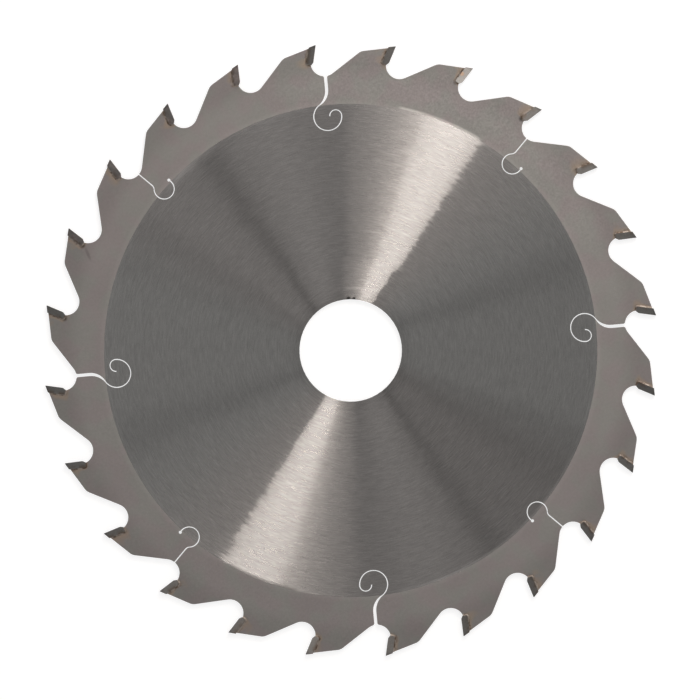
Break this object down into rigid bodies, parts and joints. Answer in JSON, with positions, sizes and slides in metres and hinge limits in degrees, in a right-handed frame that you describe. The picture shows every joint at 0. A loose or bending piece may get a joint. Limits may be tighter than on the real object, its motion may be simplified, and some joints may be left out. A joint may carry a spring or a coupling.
{
  "type": "tct circular saw blade",
  "caption": "Flat round steel saw plate with a plain arbor bore, carbide tips brazed into seats round its rim, and scroll and hook shaped relief slots cut in from the gullets.",
  "frame": {"origin": "centre of the bore, on the middle plane of the plate", "axes": "+Z along the bore, towards the side on which the blade is seen to cut clockwise; +Y from the bore to the first cutting edge"},
  "size_m": [0.18, 0.18, 0.002],
  "materials": {
    "plate_steel": "concentrically ground disc with a duller blasted rim",
    "carbide": "ground, dark grey",
    "braze_alloy": "dull, flowed and partly oxidised"
  },
  "bodies": {
    "root": {"saw_plate": "plate_steel", "carbide_tip_01": "carbide", "carbide_tip_02": "carbide", "carbide_tip_03": "carbide", "carbide_tip_04": "carbide", "carbide_tip_05": "carbide", "carbide_tip_06": "carbide", "carbide_tip_07": "carbide", "carbide_tip_08": "carbide", "carbide_tip_09": "carbide", "carbide_tip_10": "carbide", "carbide_tip_11": "carbide", "carbide_tip_12": "carbide", "carbide_tip_13": "carbide", "carbide_tip_14": "carbide", "carbide_tip_15": "carbide", "carbide_tip_16": "carbide", "carbide_tip_17": "carbide", "carbide_tip_18": "carbide", "carbide_tip_19": "carbide", "carbide_tip_20": "carbide", "carbide_tip_21": "carbide", "carbide_tip_22": "carbide", "carbide_tip_23": "carbide", "carbide_tip_24": "carbide", "braze_01": "braze_alloy", "braze_02": "braze_alloy", "braze_03": "braze_alloy", "braze_04": "braze_alloy", "braze_05": "braze_alloy", "braze_06": "braze_alloy", "braze_07": "braze_alloy", "braze_08": "braze_alloy", "braze_09": "braze_alloy", "braze_10": "braze_alloy", "braze_11": "braze_alloy", "braze_12": "braze_alloy", "braze_13": "braze_alloy", "braze_14": "braze_alloy", "braze_15": "braze_alloy", "braze_16": "braze_alloy", "braze_17": "braze_alloy", "braze_18": "braze_alloy", "braze_19": "braze_alloy", "braze_20": "braze_alloy", "braze_21": "braze_alloy", "braze_22": "braze_alloy", "braze_23": "braze_alloy", "braze_24": "braze_alloy"}
  },
  "joints": []
}
